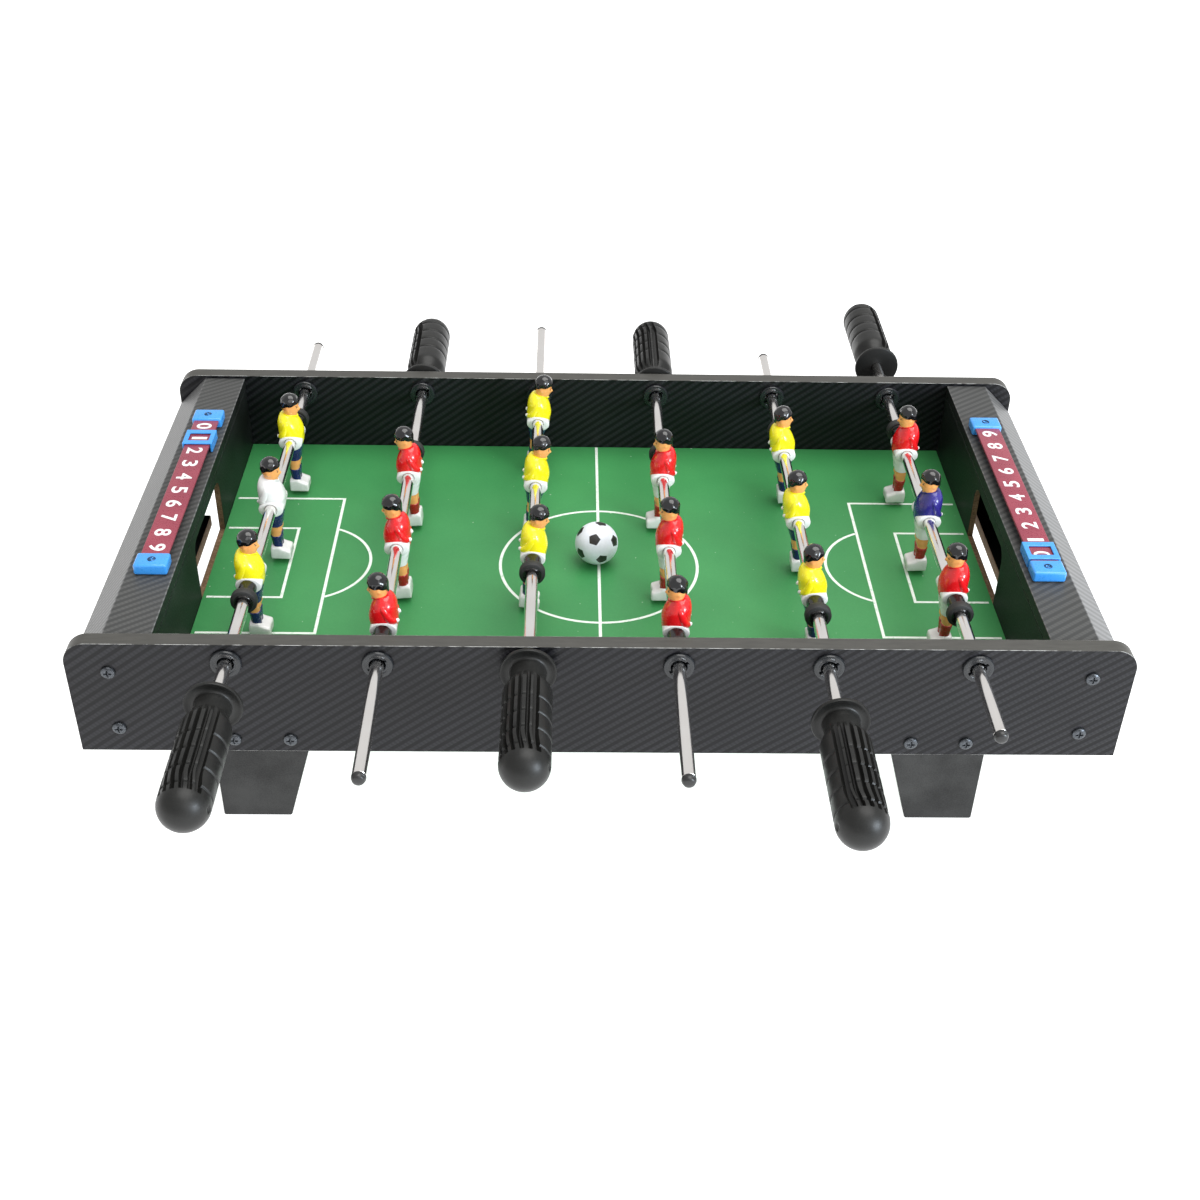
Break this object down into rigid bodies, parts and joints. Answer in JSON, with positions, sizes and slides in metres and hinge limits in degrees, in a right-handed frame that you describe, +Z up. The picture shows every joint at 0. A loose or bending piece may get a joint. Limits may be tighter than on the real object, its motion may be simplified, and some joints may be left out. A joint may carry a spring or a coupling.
{
  "type": "tabletop foosball table",
  "caption": "Tabletop foosball table: a wrapped board box on four tapered legs, with player rods that slide and turn, sliding score counters, end goals and a ball.",
  "frame": {"origin": "on the resting surface under the middle of the object's box, which lies 4.65 mm in front of the middle of the pitch because the handles are pushed to different places", "axes": "+X along the pitch towards the right goal, +Y from the front side panel to the back one, +Z up"},
  "size_m": [0.69, 0.6852, 0.1818],
  "materials": {
    "panel_wrap": "satin carbon-look vinyl over fibreboard",
    "end_wrap": "satin carbon-look vinyl over fibreboard",
    "goal_wall_paint": "satin dark vinyl over thin fibreboard",
    "raw_board": "raw fibreboard",
    "pitch_print": "smooth printed green pitch",
    "rod_chrome": "polished",
    "bushing_plastic": "satin",
    "handle_plastic": "satin moulded",
    "player_yellow": "painted gloss",
    "player_red": "painted gloss",
    "keeper_white": "painted gloss",
    "keeper_purple": "painted gloss",
    "score_strip": "satin with white figures",
    "score_blue": "gloss moulded",
    "ball_plastic": "satin with black panels",
    "bumper_rubber": "matte",
    "screw_steel": "dark plated"
  },
  "bodies": {
    "table": {"side_panel_front": "panel_wrap", "side_panel_back": "panel_wrap", "playfield": "pitch_print", "goal_wall_left": "goal_wall_paint", "end_board_left": "end_wrap", "ball_shelf_left": "raw_board", "leg_front_left": "panel_wrap", "leg_back_left": "panel_wrap", "score_bar_left": "score_strip", "goal_wall_right": "goal_wall_paint", "end_board_right": "end_wrap", "ball_shelf_right": "raw_board", "leg_front_right": "panel_wrap", "leg_back_right": "panel_wrap", "score_bar_right": "score_strip", "rod_1_bushing_front": "bushing_plastic", "rod_1_bushing_back": "bushing_plastic", "rod_2_bushing_front": "bushing_plastic", "rod_2_bushing_back": "bushing_plastic", "rod_3_bushing_front": "bushing_plastic", "rod_3_bushing_back": "bushing_plastic", "rod_4_bushing_front": "bushing_plastic", "rod_4_bushing_back": "bushing_plastic", "rod_5_bushing_front": "bushing_plastic", "rod_5_bushing_back": "bushing_plastic", "rod_6_bushing_front": "bushing_plastic", "rod_6_bushing_back": "bushing_plastic"},
    "rod_1_slide": {"rod_1_tube": "rod_chrome"},
    "rod_1_team": {"rod_1_handle": "handle_plastic", "rod_1_player_front": "player_yellow", "rod_1_player_middle": "keeper_white", "rod_1_player_back": "player_yellow"},
    "rod_2_slide": {"rod_2_tube": "rod_chrome"},
    "rod_2_team": {"rod_2_handle": "handle_plastic", "rod_2_player_front": "player_red", "rod_2_player_middle": "player_red", "rod_2_player_back": "player_red"},
    "rod_3_slide": {"rod_3_tube": "rod_chrome"},
    "rod_3_team": {"rod_3_handle": "handle_plastic", "rod_3_player_front": "player_yellow", "rod_3_player_middle": "player_yellow", "rod_3_player_back": "player_yellow"},
    "rod_4_slide": {"rod_4_tube": "rod_chrome"},
    "rod_4_team": {"rod_4_handle": "handle_plastic", "rod_4_player_front": "player_red", "rod_4_player_middle": "player_red", "rod_4_player_back": "player_red"},
    "rod_5_slide": {"rod_5_tube": "rod_chrome"},
    "rod_5_team": {"rod_5_handle": "handle_plastic", "rod_5_player_front": "player_yellow", "rod_5_player_middle": "player_yellow", "rod_5_player_back": "player_yellow"},
    "rod_6_slide": {"rod_6_tube": "rod_chrome"},
    "rod_6_team": {"rod_6_handle": "handle_plastic", "rod_6_player_front": "player_red", "rod_6_player_middle": "keeper_purple", "rod_6_player_back": "player_red"},
    "score_slider_left": {"score_slider_left": "score_blue"},
    "score_slider_right": {"score_slider_right": "score_blue"},
    "ball": {"ball": "ball_plastic"}
  },
  "joints": [
    {"name": "rod_1_push", "type": "slide", "parent": "table", "child": "rod_1_slide", "axis": [0, 1, 0], "range_m": [-0.0505, 0.0385]},
    {"name": "rod_1_spin", "type": "hinge", "parent": "rod_1_slide", "child": "rod_1_team", "pos_m": [-0.2415, 0.01065, 0.1436], "axis": [0, 1, 0], "continuous": true},
    {"name": "rod_2_push", "type": "slide", "parent": "table", "child": "rod_2_slide", "axis": [0, 1, 0], "range_m": [-0.0005, 0.0885]},
    {"name": "rod_2_spin", "type": "hinge", "parent": "rod_2_slide", "child": "rod_2_team", "pos_m": [-0.1449, -0.03935, 0.1436], "axis": [0, 1, 0], "continuous": true},
    {"name": "rod_3_push", "type": "slide", "parent": "table", "child": "rod_3_slide", "axis": [0, 1, 0], "range_m": [-0.086, 0.003]},
    {"name": "rod_3_spin", "type": "hinge", "parent": "rod_3_slide", "child": "rod_3_team", "pos_m": [-0.0483, 0.04615, 0.1436], "axis": [0, 1, 0], "continuous": true},
    {"name": "rod_4_push", "type": "slide", "parent": "table", "child": "rod_4_slide", "axis": [0, 1, 0], "range_m": [0, 0.089]},
    {"name": "rod_4_spin", "type": "hinge", "parent": "rod_4_slide", "child": "rod_4_team", "pos_m": [0.0483, -0.03985, 0.1436], "axis": [0, 1, 0], "continuous": true},
    {"name": "rod_5_push", "type": "slide", "parent": "table", "child": "rod_5_slide", "axis": [0, 1, 0], "range_m": [-0.0385, 0.0505]},
    {"name": "rod_5_spin", "type": "hinge", "parent": "rod_5_slide", "child": "rod_5_team", "pos_m": [0.1449, -0.00135, 0.1436], "axis": [0, 1, 0], "continuous": true},
    {"name": "rod_6_push", "type": "slide", "parent": "table", "child": "rod_6_slide", "axis": [0, 1, 0], "range_m": [-0.0412, 0.0478]},
    {"name": "rod_6_spin", "type": "hinge", "parent": "rod_6_slide", "child": "rod_6_team", "pos_m": [0.2415, 0.00135, 0.1436], "axis": [0, 1, 0], "continuous": true},
    {"name": "score_left_slide", "type": "slide", "parent": "table", "child": "score_slider_left", "axis": [0, 1, 0], "range_m": [-0.1473, 0.0161]},
    {"name": "score_right_slide", "type": "slide", "parent": "table", "child": "score_slider_right", "axis": [0, 1, 0], "range_m": [-0.0013, 0.1621]},
    {"name": "ball_lift", "type": "slide", "parent": "table", "child": "ball", "axis": [0, 0, 1], "range_m": [0, 0.12]}
  ]
}
